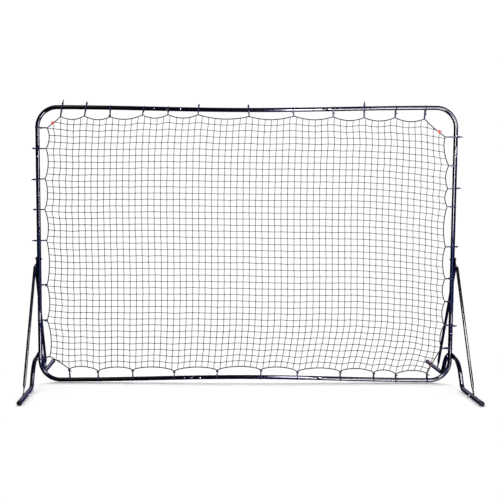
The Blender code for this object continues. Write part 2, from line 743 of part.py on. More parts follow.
def build_lashing():
    """The border cord, a closed loop, joined with the cable ties that hold it."""
    places = [place for place, _ in border_loop()]
    rings = []
    for index, place in enumerate(places):
        run = places[(index + 1) % len(places)] - places[index - 1]
        heading = atan2(run.y, run.x)
        along = Vector((-sin(heading), 0, cos(heading)))
        rings.append(ring((place.x, 0, place.y), Vector((0, 1, 0)), along,
                          CORD_RADIUS, CORD_RADIUS, sides=CORD_SIDES))
    lashing = loft("border_lashing", rings, black_fibre("border_lashing"), closed=True)
    bands = bpy.data.collections.new("tie_bands")
    for side, ties in TIES.items():
        for number, (place, reach) in enumerate(ties):
            band = tie_band(name_of("tie", side, str(number)), side, place, reach)
            bands.objects.link(band)
    join = lashing.modifiers.new("ties", "BOOLEAN")
    join.operation = "UNION"
    join.operand_type = "COLLECTION"
    join.collection = bands


def corner_marker(level, side):
    """A red tape sleeve round the border cord where it crosses a corner of the net."""
    middle, run = marker_run(level, side)
    start = middle - run * MARKER_LENGTH / 2
    bore = CORD_RADIUS / cos(pi / CORD_SIDES) + GAP
    profile = [(0, "round", bore), (0, "round", MARKER_RADIUS),
               (MARKER_LENGTH, "round", MARKER_RADIUS), (MARKER_LENGTH, "round", bore)]
    name = name_of("corner_marker", level, side)
    turned(name, (start.x, 0, start.y), (run.x, 0, run.y), profile, red_tape(name),
           closed=True)


# --- build --------------------------------------------------------------------------

def build():
    clear_scene()
    tubes = build_frame()
    build_upright_bolts(tubes)
    for side in SIDES:
        for facing in FACINGS:
            build_leg(side, facing)
            build_brace(side, facing)
    build_net()
    build_lashing()
    for level in LEVELS:
        for side in SIDES:
            corner_marker(level, side)


build()
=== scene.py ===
"""Looks of a pitch back rebounder: gloss tube frame on folding legs, knotted net and lashing.

Metres in the CAD frame: +Z up and the net's front faces -Y. The first block of numbers
repeats the part's own dimensions.
"""

from math import acos, atan2, cos, pi, radians, sin, tan

import bmesh
import bpy
import numpy as np
from mathutils import Euler, Matrix, Vector


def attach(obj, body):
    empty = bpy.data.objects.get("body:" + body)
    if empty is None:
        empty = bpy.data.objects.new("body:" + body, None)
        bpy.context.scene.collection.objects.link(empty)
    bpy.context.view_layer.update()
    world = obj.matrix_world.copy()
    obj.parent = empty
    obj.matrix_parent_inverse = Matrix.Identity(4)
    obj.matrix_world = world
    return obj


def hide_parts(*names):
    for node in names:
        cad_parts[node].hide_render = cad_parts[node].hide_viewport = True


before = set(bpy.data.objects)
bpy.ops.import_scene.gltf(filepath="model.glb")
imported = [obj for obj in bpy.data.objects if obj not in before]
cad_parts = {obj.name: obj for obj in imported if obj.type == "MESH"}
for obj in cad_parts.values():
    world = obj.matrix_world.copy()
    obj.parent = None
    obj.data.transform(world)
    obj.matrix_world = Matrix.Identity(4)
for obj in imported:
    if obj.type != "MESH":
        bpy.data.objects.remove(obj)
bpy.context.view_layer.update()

# --- the part's dimensions ---

GAP = 0.0003
FRAME_WIDTH = 2.740
FRAME_HEIGHT = 1.817
GROUND_GAP = 0.0037
TUBE_RADIUS = 0.014
CORNER_RADIUS = 0.130
RAIL_BOW = {"bottom": 0.0186, "top": 0.016}
JOINT_X = {("top", "left"): 0.515, ("top", "right"): 0.515,
           ("bottom", "left"): 0.350, ("bottom", "right"): 0.4765}
JOINT_Z = {"bottom": 0.400, "top": 1.560}
RAIL_SCREW_INSET = {"bottom": 0.0545, "top": 0.085}
UPRIGHT_SCREW_INSET = 0.067
SCREW_HEAD_RADIUS = 0.0045
SCREW_HEAD_HEIGHT = 0.0021

LEG_BOLT_Z = 0.180
BRACE_BOLT_Z = 0.822
LEG_PLANE = 0.0185                # the legs' centre line, outwards from the upright's
LEG_DROP_START = 0.030
LEG_DROP_RADIUS = 0.160
LEG_DROP_ANGLE = radians(62)
LEG_HEEL_RADIUS = 0.045
LEG_REACH = 0.588
TAB_HALF_THICKNESS = 0.002
TAB_HALF_WIDTH = 0.0175
TAB_END = 0.016
TAB_FLAT_LENGTH = 0.060
TAB_BLEND = 0.045
CAP_RADIUS = 0.0152
CAP_LENGTH = 0.034
CAP_END_WALL = 0.004
FOOT_Z = CAP_RADIUS
BRACE_RADIUS = 0.0095
BRACE_FOOT_REACH = 0.385
FLAT_HALF_THICKNESS = 0.0015
FLAT_HALF_WIDTH = 0.0125
FLAT_END = 0.013
FLAT_LENGTH = 0.030
FLAT_BLEND = 0.030
BOLT_RADIUS = 0.004
BOLT_HEX = 0.0065                 # half the hexagon's width across flats
FOOT_BOLT_RADIUS = 0.003
FOOT_BOLT_HEX = 0.005

SIDES = {"left": -1, "right": 1}
FACINGS = {"front": -1, "back": 1}
LEVELS = {"bottom": -1, "top": 1}

UPRIGHT_X = FRAME_WIDTH / 2 - TUBE_RADIUS
RAIL_END_X = UPRIGHT_X - CORNER_RADIUS
RAIL_Z = {"bottom": GROUND_GAP + TUBE_RADIUS,
          "top": GROUND_GAP + FRAME_HEIGHT - TUBE_RADIUS}
LEG_TAB_X = {"front": TUBE_RADIUS + GAP + TAB_HALF_THICKNESS,
             "back": TUBE_RADIUS + 2 * GAP + 3 * TAB_HALF_THICKNESS}
BRACE_FLAT_X = {"front": TUBE_RADIUS + GAP + FLAT_HALF_THICKNESS,
                "back": TUBE_RADIUS + 2 * GAP + 3 * FLAT_HALF_THICKNESS}
BRACE_FOOT_X = LEG_PLANE + TUBE_RADIUS + GAP + FLAT_HALF_THICKNESS
LEG_HEAD_X = TUBE_RADIUS + 3 * GAP + 4 * TAB_HALF_THICKNESS
BRACE_HEAD_X = TUBE_RADIUS + 3 * GAP + 4 * FLAT_HALF_THICKNESS
FOOT_HEAD_X = BRACE_FOOT_X + FLAT_HALF_THICKNESS + GAP

# --- the lashing ---

# Every cable tie, in millimetres: its place along its side, how far it holds the border cord
# from the tube, how far its tube end leans along the tube, where its head sits, its tail.
TIES_IN_MM = {
    "top": ((-1205, 58, 11, "out", 16), (-1050, 55, 11, "out", 6), (-885, 58, 3, "cord", 4),
            (-675, 42, 9, "back", 4), (-510, 36, 3, "back", 4), (-315, 33, 3, "out", 4),
            (15, 41, -3, "out", 4), (305, 40, -6, "back", 4), (560, 49, 0, "mid", 5),
            (760, 58, 0, "out", 12), (960, 61, 4, "mid", 6), (1150, 71, 6, "mid", 5)),
    "bottom": ((-1165, 70, 3, "cord", 14), (-975, 55, 1, "cord", 4), (-745, 58, 0, "cord", 4),
               (-470, 45, 0, "cord", 4), (-185, 46, 0, "cord", 4), (105, 49, 0, "cord", 4),
               (347, 41, 0, "cord", 4), (631, 48, 1, "cord", 4), (853, 45, 0, "cord", 4),
               (1000, 37, 0, "cord", 5), (1207, 43, 0, "cord", 12)),
    "left": ((172, 61, -16.5, "out", 10), (415, 47, 0, "cord", 4), (650, 49, 0, "cord", 5),
             (943, 50, -1, "out", 14), (1145, 40, 0, "out", 4), (1345, 45, -3, "out", 12),
             (1540, 54, 1, "out", 4), (1674, 62, 1, "back", 4)),
    "right": ((232, 57, -1, "back", 6), (388, 42, -4, "out", 10), (543, 42, 0, "back", 4),
              (695, 44, 0, "back", 4), (905, 48, 1, "out", 4), (1170, 43, -4, "back", 5),
              (1285, 42, 2, "out", 12), (1435, 39, 0, "back", 4), (1620, 68, 0, "out", 14)),
}
TIES = {side: [(place / 1000, reach / 1000, lean / 1000, head, tail / 1000)
               for place, reach, lean, head, tail in ties]
        for side, ties in TIES_IN_MM.items()}
SAG = {"top": 0.022, "bottom": 0.024, "left": 0.018, "right": 0.018}
CUSP = {"top": 0.85, "bottom": 0.60, "left": 0.72, "right": 0.72}   # lower is more pointed
CORNER_BOW = 0.004
BORDER_STEPS = 14                 # from each tie to the next
ROPE_RADIUS = 0.0036
ROPE_LAY = 0.020                  # one turn of the cord's three strands
ROPE_STEP = 0.0032

TIE_HALF_WIDTH = 0.0038
TIE_THICKNESS = 0.0014
APEX_RADIUS = 0.0016
APEX_REACH = 0.0090               # from the tube's surface to a head that stands off it
# Where a tie's head sits: the share of the tie's reach and the offset along it, the depth,
# how far beyond its middle the tail starts, and the tail's way along, behind and beside it.
HEADS = {
    "out": (0.0, -(TUBE_RADIUS + GAP + APEX_REACH + 0.0015), 0.0, 0.002, (-1.0, 0.0, 0.0)),
    "cord": (1.0, -0.004, -ROPE_RADIUS - 0.0050, 0.0, (-0.3, -0.5, -0.8)),
    "mid": (0.60, 0.0, -ROPE_RADIUS - 0.0065, 0.0, (-0.2, -0.6, 0.7)),
    "back": (0.35, 0.0, TUBE_RADIUS + 0.0005, 0.0, (0.5, 1.0, 0.0)),
}
HEAD_HALVES = (0.0055, 0.0060, 0.0042)      # along the band, across it and off it
CORD_HEAD_HALVES = (0.0060, 0.0078, 0.0042)

MARKER_SHARES = {("top", "left"): 0.56, ("top", "right"): 0.70,
                 ("bottom", "left"): 0.56, ("bottom", "right"): 0.33}
MARKER_LENGTH = {"top": 0.018, "bottom": 0.0288}
MARKER_FLAGS = {"top": ((0.55, 0.017), (-0.45, 0.013)), "bottom": ()}    # slant and reach
MARKER_TAPES = {"top": "marker_tape", "bottom": "worn_tape"}

# --- the net ---

NET_COLUMNS = 63                  # meshes across and down
NET_ROWS = 40
MESH_WIDTH = 0.04136
MESH_HEIGHT = 0.04118
NET_LEFT = -1.3033
NET_TOP = 1.7430
TWINE_RADIUS = 0.0020
TWINE_OFFSET = 0.0004             # columns lie behind the middle, rows before it
KNOT_RADIUS = 0.0046
KNOT_STRAY = 0.0008
EDGE_FADE = 0.08                  # past a side's end ties, where its pull on the net ends
SIDEWAYS_PULL = 0.35              # how much of a pull goes to the next lines of the net
RELAX_ROUNDS = 900

# --- the view and the light ---

IMAGE_SIZE = 500
FOCAL = 823.0                     # in the unit of the image's size
CAMERA_PLACE = (-0.3198, -5.3779, 1.3203)
CAMERA_PITCH = 0.08136
CAMERA_YAW = 0.0005
CAMERA_ROLL = 0.00187
CAMERA_SHIFT = 0.105
SENSOR = 36.0

BACK_STRIP_POWER = 12600
WHITE = (1.0, 1.0, 1.0)
PAPER_WHITE = 1.02
FILL_WHITE = 0.74
# Upright cards close in front of the frame, seen only in the gloss: place, width, height,
# colour and radiance.
STRIPS = (
    ("white_strip", (0.62, -1.80, 1.45), 0.36, 1.10, (1.0, 0.93, 1.0), 50.0),
    ("blue_strip", (0.62, -1.85, 0.60), 0.26, 0.90, (0.20, 0.32, 1.0), 10.0),
    ("corner_window", (2.20, -2.40, 2.12), 1.80, 0.50, (1.0, 0.95, 1.0), 20.0),
)
# Far cards seen only in the gloss: azimuths from the front to the right, elevations, colour
# and radiance. A low window for the rails, its blue edge, and a warm lamp on the left.
REFLECTIONS = (
    ("low_window", 9.0, 25.0, -31.0, -15.0, (0.97, 0.86, 1.0), 40.0),
    ("window_edge", 4.4, 8.5, -20.0, 8.0, (0.22, 0.30, 1.0), 8.0),
    ("warm_lamp", -32.0, -21.0, 30.0, 58.0, (1.0, 0.76, 0.50), 1.6),
)
REFLECTION_DISTANCE = 8.0
REFLECTION_MIDDLE = (0.3, 0.0, 0.9)
FLOOR_REACH = 40.0

# --- node trees and materials ---


class Nodes:
    """Short calls for building a node tree."""

    def __init__(self, tree):
        self.tree = tree

    def feed(self, target, value):
        """Links a socket to target, or sets target to a constant."""
        if isinstance(value, bpy.types.NodeSocket):
            self.tree.links.new(value, target)
        else:
            target.default_value = value

    def node(self, kind, inputs=None, **settings):
        made = self.tree.nodes.new("ShaderNode" + kind)
        for key, value in settings.items():
            setattr(made, key, value)
        for key, value in (inputs or {}).items():
            self.feed(made.inputs[key], value)
        return made

    def spread(self, source, start=0.0, end=1.0, low=0.0, high=1.0, kind="LINEAR"):
        """Source's range from start to end, spread from low to high."""
        inputs = {"Value": source, "From Min": start, "From Max": end, "To Min": low,
                  "To Max": high}
        return self.node("MapRange", inputs, interpolation_type=kind).outputs["Result"]

    def either(self, share, first, second):
        return self.node("MixShader", {0: share, 1: first, 2: second}).outputs[0]

    def product(self, first, second):
        return self.node("Math", {0: first, 1: second}, operation="MULTIPLY").outputs[0]


class Material(Nodes):
    """A new material's node tree round its shader."""

    def __init__(self, name):
        self.material = bpy.data.materials.new(name)
        self.material.use_nodes = True
        super().__init__(self.material.node_tree)
        self.shader = self.tree.nodes["Principled BSDF"]
        self.coordinates = self.node("TexCoord").outputs["Object"]

    def set(self, **values):
        """Sets or links the shader's inputs, with _ for a space in their names."""
        for key, value in values.items():
            self.feed(self.shader.inputs[key.replace("_", " ")], value)

    def noise(self, scale, detail, roughness=0.5):
        inputs = {"Vector": self.coordinates, "Scale": scale, "Detail": detail,
                  "Roughness": roughness}
        return self.node("TexNoise", inputs).outputs["Fac"]

    def ramp(self, source, *stops):
        made = self.node("ValToRGB", {"Fac": source})
        for element, (place, colour) in zip(made.color_ramp.elements, stops):
            element.position = place
            element.color = (*colour, 1.0)
        return made.outputs["Color"]

    def bump(self, source, strength, distance):
        inputs = {"Height": source, "Strength": strength, "Distance": distance}
        self.set(Normal=self.node("Bump", inputs).outputs["Normal"])


def surface(name, tone, rough, relief, **constants):
    """A material with mottled colour, patchy roughness and fine relief.

    tone holds a noise and two colour stops, rough a noise, the least and the most, relief a
    noise, its strength and its distance. A noise is (scale, detail) or with its roughness.
    """
    made = Material(name)
    made.set(**constants)
    made.set(Base_Color=made.ramp(made.noise(*tone[0]), *tone[1:]),
             Roughness=made.spread(made.noise(*rough[0]), low=rough[1], high=rough[2]))
    made.bump(made.noise(*relief[0]), *relief[1:])
    return made.material


def gloss_paint(name, low, high, roughness):
    """Black powder coat: faint orange peel, a little mottling and fine rubbed patches."""
    return surface(name, ((9.0, 4.0), (0.3, low), (0.7, high)),
                   ((60.0, 6.0, 0.65), roughness * 0.75, roughness * 1.35),
                   ((1100.0, 2.0), 0.06, 0.0002),
                   Coat_Weight=0.5, Coat_Roughness=0.06, Specular_IOR_Level=0.5)


def cloth_tape(name, dark, light):
    return surface(name, ((160.0, 5.0), (0.25, dark), (0.75, light)),
                   ((500.0, 3.0), 0.45, 0.68), ((1400.0, 3.0), 0.5, 0.0003), Sheen_Weight=0.2)


def fibre(name, dark, light, painted_lit_colour, grain):
    """Spun twine with fine strands and a soft sheen; its colour is painted lighter towards the
    top right, where light falls from the right, and darker at the left and bottom.
    """
    made = Material(name)
    blend = made.noise(grain, 4.0, 0.6)
    split = made.node("SeparateXYZ", {"Vector": made.coordinates}).outputs
    # Painted light and shade: this mask is 0 at the net's left and bottom and 1 elsewhere, where
    # the twine is painted as lit.
    share = made.product(made.spread(split["X"], -1.25, -0.55, kind="SMOOTHSTEP"),
                         made.spread(split["Z"], 0.15, 0.75, kind="SMOOTHSTEP"))
    inputs = {"Factor": share, "A": made.ramp(blend, (0.28, dark), (0.72, light)),
              "B": made.ramp(blend, (0.28, light), (0.72, painted_lit_colour))}
    made.set(Base_Color=made.node("Mix", inputs, data_type="RGBA").outputs["Result"],
             Roughness=made.spread(made.noise(grain * 3, 3.0), low=0.62, high=0.86),
             Sheen_Weight=0.10, Sheen_Roughness=0.5, Specular_IOR_Level=0.25)
    made.bump(made.noise(grain * 6, 4.0, 0.7), 0.6, 0.0004)
    return made.material


MATERIALS = {
    "frame_paint": gloss_paint("frame_paint", (0.0010, 0.0010, 0.0020),
                               (0.0026, 0.0026, 0.0050), 0.12),
    "leg_paint": gloss_paint("leg_paint", (0.0011, 0.0011, 0.0026),
                             (0.0030, 0.0030, 0.0065), 0.13),
    "brace_paint": gloss_paint("brace_paint", (0.0011, 0.0011, 0.0028),
                               (0.0032, 0.0032, 0.0070), 0.13),
    "zinc": surface(
        "bright_zinc", ((240.0, 5.0), (0.25, (0.50, 0.51, 0.54)), (0.75, (0.80, 0.80, 0.82))),
        ((700.0, 4.0), 0.16, 0.36), ((1500.0, 3.0), 0.15, 0.0002), Metallic=1.0),
    "cap_plastic": surface(
        "moulded_plastic",
        ((45.0, 4.0), (0.3, (0.006, 0.006, 0.008)), (0.7, (0.016, 0.016, 0.020))),
        ((300.0, 5.0), 0.36, 0.58), ((2200.0, 3.0), 0.35, 0.0002)),
    # Each twine's third colour is painted light: the lit tone towards the net's top right.
    "net_twine": fibre("net_twine", (0.002, 0.002, 0.004), (0.016, 0.015, 0.026),
                       (0.20, 0.185, 0.25), 90.0),
    "border_cord": fibre("border_cord", (0.002, 0.002, 0.004), (0.012, 0.011, 0.020),
                         (0.024, 0.022, 0.036), 140.0),
    "nylon": surface(
        "nylon", ((120.0, 4.0), (0.3, (0.012, 0.012, 0.045)), (0.7, (0.030, 0.030, 0.095))),
        ((420.0, 3.0), 0.22, 0.40), ((900.0, 2.0), 0.25, 0.0003), Specular_IOR_Level=0.25),
    "marker_tape": cloth_tape("marker_tape", (0.70, 0.035, 0.008), (0.95, 0.11, 0.02)),
    "worn_tape": cloth_tape("worn_tape", (0.10, 0.015, 0.015), (0.24, 0.05, 0.05)),
}

# --- mesh building ---

X_AXIS = np.array([1.0, 0, 0])
Y_AXIS = np.array([0, 1.0, 0])
Z_AXIS = np.array([0, 0, 1.0])


def loft_faces(number, sides, closed):
    """Quads between rings of points, with an end face at each end unless closed in a loop."""
    ring = np.arange(sides)
    after = (ring + 1) % sides
    near = np.arange(number if closed else number - 1)[:, None] * sides
    far = (near + sides) % (number * sides)
    faces = np.stack([near + ring, near + after, far + after, far + ring], -1)
    faces = faces.reshape(-1, 4).tolist()
    if not closed:
        faces += [ring[::-1].tolist(), (ring + (number - 1) * sides).tolist()]
    return faces


def new_object(name, data):
    made = bpy.data.objects.new(name, data)
    bpy.context.scene.collection.objects.link(made)
    return made


def piece(name, material, lofts, node=None, body="frame", smooth=35.0, loops=0):
    """An object lofted through sets of rings, of which the first few are closed loops.

    It rides on body and stands for a CAD node.
    """
    mesh = bpy.data.meshes.new(name)
    points, faces = [], []
    for index, rings in enumerate(lofts):
        rings = np.asarray(rings, float)
        start = len(points)
        points += rings.reshape(-1, 3).tolist()
        faces += [[start + corner for corner in face]
                  for face in loft_faces(*rings.shape[:2], index < loops)]
    mesh.from_pydata(points, [], faces)
    tidy = bmesh.new()
    tidy.from_mesh(mesh)
    bmesh.ops.recalc_face_normals(tidy, faces=tidy.faces)
    tidy.to_mesh(mesh)
    tidy.free()
    mesh.shade_smooth()
    mesh.set_sharp_from_angle(angle=radians(smooth))
    mesh.materials.append(MATERIALS[material])
    made = new_object(name, mesh)
    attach(made, body)
    if node:
        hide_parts(node)


def block_rings(centre, axes, halves, bevel):
    """A box with chamfered edges; axes are three unit directions."""
    rings = []
    for height, inset in ((-1, bevel), (-1 + bevel / halves[2], 0),
                          (1 - bevel / halves[2], 0), (1, bevel)):
        wide, deep = halves[0] - inset, halves[1] - inset
        flat = [(wide - bevel, deep), (wide, deep - bevel)]
        corners = flat + [(x, -y) for x, y in reversed(flat)]
        corners += [(-x, -y) for x, y in corners]
        rings.append([centre + axes[0] * x + axes[1] * y + axes[2] * height * halves[2]
                      for x, y in corners])
    return rings


def unit(vector):
    vector = np.asarray(vector, float)
    return vector / np.linalg.norm(vector, axis=-1, keepdims=True)


def mix(first, second, share):
    return first + (second - first) * share


def smooth_step(value):
    value = np.clip(value, 0.0, 1.0)
    return value * value * (3 - 2 * value)


def in_space(places, depth=0.0):
    """Places or directions (x, z) as points in space, at a depth along Y."""
    places = np.asarray(places, float)
    depth = np.broadcast_to(depth, places.shape[:-1])
    return np.stack([places[..., 0], depth, places[..., 1]], -1)


def beside(run):
    """Directions (x, z) turned by a quarter, in space."""
    return in_space(np.stack([-run[..., 1], run[..., 0]], -1))


def tube_rings(centres, across, along, half_across, half_along=None, power=1.0, sides=32):
    """Rings round a line: across and along span each ring, power squares the outline off."""
    angle = 2 * pi * (np.arange(sides) + 0.5) / sides
    half_along = half_across if half_along is None else half_along
    rings = np.asarray(centres, float)[:, None, :]
    for wave, half, axis in ((np.cos(angle), half_across, across),
                             (np.sin(angle), half_along, along)):
        reach = np.sign(wave) * np.abs(wave) ** np.reshape(power, (-1, 1))
        reach = reach * np.reshape(half, (-1, 1))
        rings = rings + reach[..., None] * np.reshape(axis, (-1, 1, 3))
    return rings


def turned_rings(start, axis, profile, sides=48):
    """Rings on an axis: profile is (distance, radius), or with a shape.

    A hex has half its width across flats for radius. A chamfer is round, but is cut off
    where it would stand out from the profile's hexagon.
    """
    axis = np.asarray(axis, float)
    across = X_AXIS if axis[1] else Y_AXIS
    along = np.cross(axis, across)
    angle = 2 * pi * (np.arange(sides) + 0.5) / sides
    turn = (angle + pi / 6) % (pi / 3) - pi / 6
    flats = max((row[1] for row in profile if "hex" in row), default=0.0)
    rings = []
    for distance, radius, *shape in profile:
        reach = radius / np.cos(turn) if "hex" in shape else np.full(sides, radius)
        if "chamfer" in shape:
            reach = np.minimum(radius, flats / np.cos(turn))
        centre = np.asarray(start, float) + axis * distance
        rings.append(centre + np.outer(reach * np.cos(angle), across)
                     + np.outer(reach * np.sin(angle), along))
    return np.array(rings)


# --- the tube frame ---

SEAM_STEPS = np.array([0.0, 0.0004, 0.0011])     # from a tube's end
SEAM_LIPS = np.array([0.0007, 0.0002, 0.0])      # how much thinner the tube is there


def rail_z(level, x):
    """Height of a rail's centre line, drawn inwards by the lashing between its corners."""
    x = np.asarray(x, float)
    pull = RAIL_BOW[level] * np.cos(pi * x / (2 * RAIL_END_X)) ** 2
    return RAIL_Z[level] - LEVELS[level] * np.where(np.abs(x) > RAIL_END_X, 0.0, pull)


def frame_tube(name, places):
    """A tube along places (x, z), with its two ends eased over."""
    run = unit(np.gradient(places, axis=0))
    steps = GAP / 2 + SEAM_STEPS[:, None]
    places = np.concatenate([places[0] + run[0] * steps, places[1:-1],
                             places[-1] - run[-1] * steps[::-1]])
    run = np.concatenate([np.repeat(run[:1], 3, 0), run[1:-1], np.repeat(run[-1:], 3, 0)])
    radii = np.full(len(places), TUBE_RADIUS)
    radii[:3] -= SEAM_LIPS
    radii[-3:] -= SEAM_LIPS[::-1]
    piece(name + "_shell", "frame_paint",
          [tube_rings(in_space(places), Y_AXIS, beside(run), radii)], name)


def build_frame():
    for level, lift in LEVELS.items():
        x = np.linspace(-JOINT_X[level, "left"], JOINT_X[level, "right"], 33)
        frame_tube("rail_tube_" + level, np.stack([x, rail_z(level, x)], 1))
        for side, sign in SIDES.items():
            x = np.linspace(JOINT_X[level, side], RAIL_END_X, 25)
            run = np.stack([sign * x, rail_z(level, x)], 1)
            angle = np.linspace(0, pi / 2, 29)[1:]
            bend = np.stack([sign * (RAIL_END_X + CORNER_RADIUS * np.sin(angle)),
                             RAIL_Z[level] - lift * CORNER_RADIUS * (1 - np.cos(angle))], 1)
            z = np.linspace(bend[-1, 1], JOINT_Z[level], 9)[1:]
            down = np.stack([0 * z + sign * UPRIGHT_X, z], 1)
            frame_tube(f"corner_tube_{level}_{side}", np.concatenate([run, bend, down]))
    for side, sign in SIDES.items():
        z = np.linspace(JOINT_Z["bottom"], JOINT_Z["top"], 15)
        frame_tube("upright_tube_" + side, np.stack([0 * z + sign * UPRIGHT_X, z], 1))


# --- screws, bolts and nuts ---

HEX_SMOOTH = 28.0                 # degrees


def screw_head(x, z):
    """Rings of a dome head with a cross recess on a tube's front."""
    sides, steps = 48, 9
    angle = 2 * pi * np.arange(sides) / sides
    arm = 0.11 * SCREW_HEAD_RADIUS + 0.0001
    rings = []
    for index in range(steps + 1):
        turn = index / steps * pi / 2
        reach = SCREW_HEAD_RADIUS * cos(turn) + 0.00005
        across, up = reach * np.cos(angle), reach * np.sin(angle)
        inside_arms = np.minimum(np.abs(across), np.abs(up)) < arm
        recess = 0.55 * (inside_arms & (reach < 0.62 * SCREW_HEAD_RADIUS))
        depth = -TUBE_RADIUS - SCREW_HEAD_HEIGHT * (sin(turn) - recess)
        rings.append(np.stack([x + across, depth, z + up], 1))
    return [rings[0] + Y_AXIS * 0.0006] + rings


def build_screws():
    for level, lift in LEVELS.items():
        for side, sign in SIDES.items():
            for place, outward in (("inner", -1), ("outer", 1)):
                x = sign * (JOINT_X[level, side] + outward * RAIL_SCREW_INSET[level])
                z = JOINT_Z[level] + outward * lift * UPRIGHT_SCREW_INSET
                spots = {"rail": (x, float(rail_z(level, x))), "upright": (sign * UPRIGHT_X, z)}
                for kind, spot in spots.items():
                    node = f"{kind}_screw_{place}_{level}_{side}"
                    piece(node + "_head", "zinc", [screw_head(*spot)], node)


def head_profile(half_hex):
    """A hexagon bolt head from its domed face down to its washer face at 0."""
    height = 0.86 * half_hex
    return [(-height - 0.0002, half_hex * 0.45), (-height, half_hex * 0.80),
            (-height + 0.0001, half_hex * 0.97, "chamfer"),
            (-height + 0.0008, half_hex * 1.12, "chamfer"), (-0.0004, half_hex, "hex"),
            (-0.0004, half_hex * 0.95), (0, half_hex * 0.95)]


def thread(start, end, radius, pitch=0.001):
    """Thread crests along a shank as (distance, radius)."""
    count = max(round((end - start) / pitch), 1)
    profile = []
    for index in range(count):
        place = mix(start, end, index / count)
        profile += [(place, radius * 0.90), (place + 0.45 * (end - start) / count, radius)]
    return profile + [(end, radius * 0.72)]


def bolt(node, body, start, axis, half_hex, radius, length):
    """A bolt whose last third is threaded."""
    plain = length * 0.66
    profile = head_profile(half_hex) + [(0, radius), (plain, radius)]
    profile += thread(plain, length, radius)
    piece(node + "_hex", "zinc", [turned_rings(start, axis, profile)], node, body, HEX_SMOOTH)


NUT_HEIGHT_SHARE = 0.95           # of half the width across flats
SHANK_PAST_NUT = 0.003


def nut_rings(start, axis, half_hex, radius):
    """A nut with chamfered ends, and a plastic-locked collar that closes on the shank."""
    height = NUT_HEIGHT_SHARE * half_hex
    profile = [(0, half_hex * 0.95), (0.0003, half_hex * 1.05, "chamfer"),
               (0.0008, half_hex, "hex"), (height - 0.0016, half_hex, "hex"),
               (height - 0.0012, half_hex * 1.02, "chamfer"),
               (height - 0.0011, half_hex * 0.86),
               (height - 0.0003, half_hex * 0.80), (height, half_hex * 0.70),
               (height, radius + 0.0003), (height - 0.0006, radius + 0.0001)]
    return turned_rings(start, axis, profile)


def build_bolts():
    for side, sign in SIDES.items():
        inward = (-sign, 0, 0)
        for label, height, head_x, radius, half_hex in (
                ("leg", LEG_BOLT_Z, LEG_HEAD_X, BOLT_RADIUS, BOLT_HEX),
                ("brace", BRACE_BOLT_Z, BRACE_HEAD_X, FOOT_BOLT_RADIUS, FOOT_BOLT_HEX)):
            length = head_x + TUBE_RADIUS + GAP + NUT_HEIGHT_SHARE * half_hex + SHANK_PAST_NUT
            bolt(f"{label}_bolt_{side}", "frame", (sign * (UPRIGHT_X + head_x), 0, height),
                 inward, half_hex, radius, length)
            seat = (sign * (UPRIGHT_X - TUBE_RADIUS - GAP), 0, height)
            node = f"{label}_nut_{side}"
            piece(node + "_hex", "zinc", [nut_rings(seat, inward, half_hex, radius)], node,
                  smooth=HEX_SMOOTH)


# --- legs and braces ---

PRESSED_POWER = 0.35              # squares off the outline of a pressed end
CAP_GROOVES = (0.024, 0.027, 0.030)
GROOVE_SIZE = 0.0006


def plane_path(place, moves):
    """Distances, places and headings along moves (length or radius, turn, steps)."""
    heading, length = 0.0, 0.0
    stops = [(length, *place, heading)]
    for size, angle, steps in moves:
        turn = angle / steps
        stride = size * abs(turn) if turn else size / steps
        chord = 2 * size * sin(abs(turn) / 2) if turn else stride
        for _ in range(steps):
            middle = heading + turn / 2
            place = (place[0] + chord * cos(middle), place[1] + chord * sin(middle))
            heading += turn
            length += stride
            stops.append((length, *place, heading))
    stops = np.array(stops)
    return stops[:, 0], stops[:, 1:3], stops[:, 3]


def leg_path():
    """From the tab's end past the bolt, down the bend to the heel and along the ground."""
    corner = LEG_DROP_START + LEG_DROP_RADIUS * sin(LEG_DROP_ANGLE)
    fall = LEG_DROP_RADIUS * (1 - cos(LEG_DROP_ANGLE))
    heel = LEG_HEEL_RADIUS * tan(LEG_DROP_ANGLE / 2)
    slope = (LEG_BOLT_Z - FOOT_Z - fall) / sin(LEG_DROP_ANGLE) - heel
    heel_end = corner + (slope + heel) * cos(LEG_DROP_ANGLE) + heel
    foot = LEG_REACH - CAP_END_WALL - GAP - heel_end
    tip = 0.002
    moves = ((tip, 0, 4), (TAB_END * 0.75 - tip, 0, 3), (TAB_END * 0.25 + LEG_DROP_START, 0, 3),
             (LEG_DROP_RADIUS, -LEG_DROP_ANGLE, 28), (slope, 0, 3),
             (LEG_HEEL_RADIUS, LEG_DROP_ANGLE, 14), (foot, 0, 4))
    return plane_path((-TAB_END, 0.0), moves)


def pressed(from_hole, end, flat_length, blend):
    """How round a pressed tube is, and how full its width is, at distances from its hole."""
    tip = np.clip((from_hole + end) / (end * 0.9), 0.0, 1.0)
    return (smooth_step((from_hole - flat_length) / blend),
            np.sqrt(np.clip(1 - (1 - tip) ** 2, 0.02, 1.0)))


def strut(kind, side, facing, pivot_z, places, headings, planes, radius, thickness, width,
          roundness):
    """A leg or brace: its centre line lies beside the upright, in a plane along YZ."""
    sign, facing_sign = SIDES[side], FACINGS[facing]
    centres = np.stack([sign * (UPRIGHT_X + planes), facing_sign * places[:, 0],
                        pivot_z + places[:, 1]], 1)
    along = np.stack([0 * headings, -facing_sign * np.sin(headings), np.cos(headings)], 1)
    rings = tube_rings(centres, X_AXIS, along, mix(thickness, radius, roundness),
                       mix(width, radius, roundness), mix(PRESSED_POWER, 1.0, roundness), 36)
    node = f"{kind}_tube_{facing}_{side}"
    piece(node + "_shell", kind + "_paint", [rings], node, f"{kind}_{facing}_{side}")


